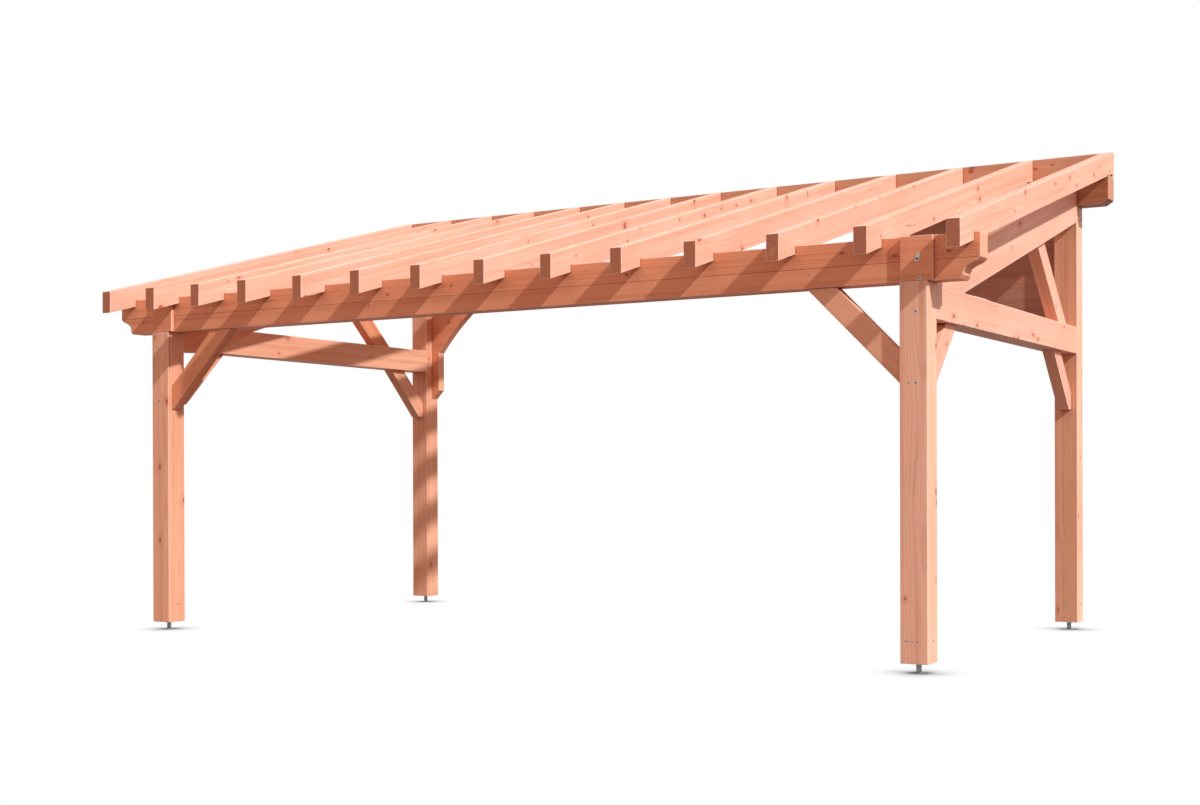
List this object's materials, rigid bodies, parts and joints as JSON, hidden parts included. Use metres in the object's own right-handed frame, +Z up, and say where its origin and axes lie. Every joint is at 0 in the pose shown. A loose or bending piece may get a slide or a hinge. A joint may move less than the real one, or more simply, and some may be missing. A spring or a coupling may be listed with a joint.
{
  "type": "carport",
  "caption": "Lean-to carport frame of reddish sawn timber: square posts on threaded feet, shaped front beam, raised rear beam, braced side frames and sloping notched rafters.",
  "frame": {"origin": "on the ground, at the middle of the frame's outline", "axes": "+X along the front from the left end to the right end, +Y from the low front to the high rear, +Z up"},
  "size_m": [6.16, 3.339, 3.2116],
  "materials": {
    "timber": "satin",
    "board": "satin",
    "steel": "satin"
  },
  "bodies": {
    "root": {"post_front_left": "timber", "post_front_right": "timber", "post_rear_left": "timber", "post_rear_right": "timber", "foot_front_left": "steel", "foot_front_right": "steel", "foot_rear_left": "steel", "foot_rear_right": "steel", "front_beam": "timber", "cheek_left": "timber", "cheek_right": "timber", "rear_beam": "timber", "fascia": "board", "principal_left": "timber", "principal_right": "timber", "tie_left": "timber", "tie_right": "timber", "strut_left": "timber", "strut_right": "timber", "brace_front_left": "timber", "brace_front_right": "timber", "knee_front_left": "timber", "knee_front_right": "timber", "knee_rear_left": "timber", "knee_rear_right": "timber", "bracket_left": "timber", "bracket_right": "timber", "rafter_01": "timber", "rafter_02": "timber", "rafter_03": "timber", "rafter_04": "timber", "rafter_05": "timber", "rafter_06": "timber", "rafter_07": "timber", "rafter_08": "timber", "rafter_09": "timber", "rafter_10": "timber", "rafter_11": "timber", "rafter_12": "timber", "rafter_13": "timber", "rafter_14": "timber"}
  },
  "joints": []
}
